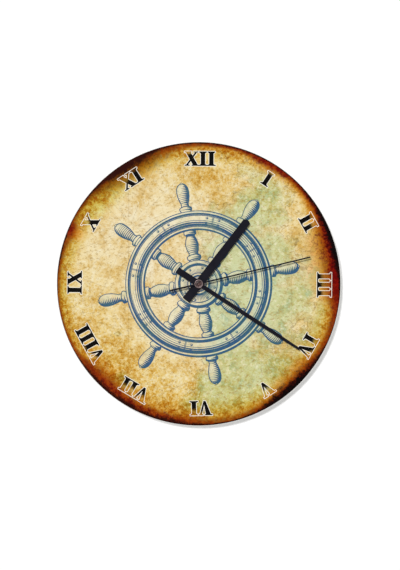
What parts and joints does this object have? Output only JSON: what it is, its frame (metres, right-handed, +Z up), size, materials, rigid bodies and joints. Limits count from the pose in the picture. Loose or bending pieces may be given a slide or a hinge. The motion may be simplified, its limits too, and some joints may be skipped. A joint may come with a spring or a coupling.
{
  "type": "wall clock",
  "caption": "Frameless round wall clock: a thin printed disc with Roman numerals and black hands on a battery movement with a hanging eye.",
  "frame": {"origin": "where the hands' axis meets the wall plane, on the flat back of the rear case", "axes": "+Z up, +X to the right seen from the front, +Y from the dial towards the wall"},
  "size_m": [0.3, 0.0308, 0.3],
  "materials": {
    "white_board": "matt white foamed board",
    "printed_film": "aged parchment print, satin",
    "case_plastic": "fine-textured black moulding",
    "natural_plastic": "natural white moulding",
    "knob_plastic": "white moulding",
    "black_rubber": "matt",
    "brass": "turned",
    "nickel": "nickel plated",
    "steel": "bright ground",
    "magnet": "dark sintered",
    "soft_iron": "stamped plate",
    "bobbin_plastic": "natural moulding",
    "copper_wire": "enamelled copper wire",
    "board_laminate": "paper laminate",
    "black_epoxy": "potting drop",
    "battery_can": "printed sleeve, plain",
    "black_paint": "semi-matt black paint",
    "polished_cap": "polished"
  },
  "bodies": {
    "case": {"dial_board": "white_board", "printed_face": "printed_film", "rubber_washer": "black_rubber", "dial_washer": "nickel", "fixing_nut": "nickel", "centre_bush": "brass", "front_case": "case_plastic", "rear_case": "case_plastic", "middle_plate": "natural_plastic", "stator": "soft_iron", "coil_core": "soft_iron", "coil_bobbin": "bobbin_plastic", "coil_winding": "copper_wire", "coil_screws": "steel", "circuit_board": "board_laminate", "chip_cover": "black_epoxy", "quartz_crystal": "nickel", "battery_positive_contact": "nickel", "battery_negative_contact": "nickel"},
    "minute_arm": {"centre_wheel": "natural_plastic", "minute_collet": "brass", "minute_hand": "black_paint"},
    "hour_arm": {"hour_wheel": "natural_plastic", "hour_collet": "brass", "hour_hand": "black_paint"},
    "second_arm": {"second_wheel": "natural_plastic", "second_arbor": "steel", "second_tube": "brass", "second_hand": "black_paint", "hub_cap": "polished_cap"},
    "third_wheel": {"third_wheel": "natural_plastic", "third_arbor": "steel"},
    "intermediate_wheel": {"intermediate_wheel": "natural_plastic"},
    "rotor": {"rotor_pinion": "natural_plastic", "rotor_magnet": "magnet"},
    "minute_wheel": {"minute_wheel": "natural_plastic"},
    "setting_knob": {"setting_knob": "knob_plastic"},
    "battery": {"battery_cell": "battery_can", "battery_positive_cap": "nickel"}
  },
  "joints": [
    {"name": "minute_hand_turn", "type": "hinge", "parent": "case", "child": "minute_arm", "pos_m": [0, 0, 0], "axis": [0, 1, 0], "continuous": true},
    {"name": "hour_hand_turn", "type": "hinge", "parent": "case", "child": "hour_arm", "pos_m": [0, 0, 0], "axis": [0, 1, 0], "continuous": true},
    {"name": "second_hand_turn", "type": "hinge", "parent": "case", "child": "second_arm", "pos_m": [0, 0, 0], "axis": [0, 1, 0], "continuous": true},
    {"name": "third_wheel_turn", "type": "hinge", "parent": "case", "child": "third_wheel", "pos_m": [0.00863, 0, 0.00314], "axis": [0, 1, 0], "continuous": true},
    {"name": "intermediate_wheel_turn", "type": "hinge", "parent": "case", "child": "intermediate_wheel", "pos_m": [-0.00727, 0, 0.0042], "axis": [0, 1, 0], "continuous": true},
    {"name": "rotor_turn", "type": "hinge", "parent": "case", "child": "rotor", "pos_m": [-0.00909, 0, 0.01096], "axis": [0, 1, 0], "continuous": true},
    {"name": "minute_wheel_turn", "type": "hinge", "parent": "case", "child": "minute_wheel", "pos_m": [0, 0, 0.0084], "axis": [0, 1, 0], "continuous": true},
    {"name": "setting_knob_turn", "type": "hinge", "parent": "case", "child": "setting_knob", "pos_m": [0.00818, 0, 0.01312], "axis": [0, 1, 0], "continuous": true},
    {"name": "battery_slide", "type": "slide", "parent": "case", "child": "battery", "axis": [0, 1, 0], "range_m": [0, 0.018]}
  ],
  "couplings": [
    {"joint": "hour_hand_turn", "follows": "minute_hand_turn", "ratio": 0.083333},
    {"joint": "second_hand_turn", "follows": "minute_hand_turn", "ratio": 60},
    {"joint": "third_wheel_turn", "follows": "minute_hand_turn", "ratio": -8},
    {"joint": "intermediate_wheel_turn", "follows": "minute_hand_turn", "ratio": -300},
    {"joint": "rotor_turn", "follows": "minute_hand_turn", "ratio": 1800},
    {"joint": "minute_wheel_turn", "follows": "minute_hand_turn", "ratio": -0.33333},
    {"joint": "setting_knob_turn", "follows": "minute_hand_turn", "ratio": 0.66667}
  ]
}
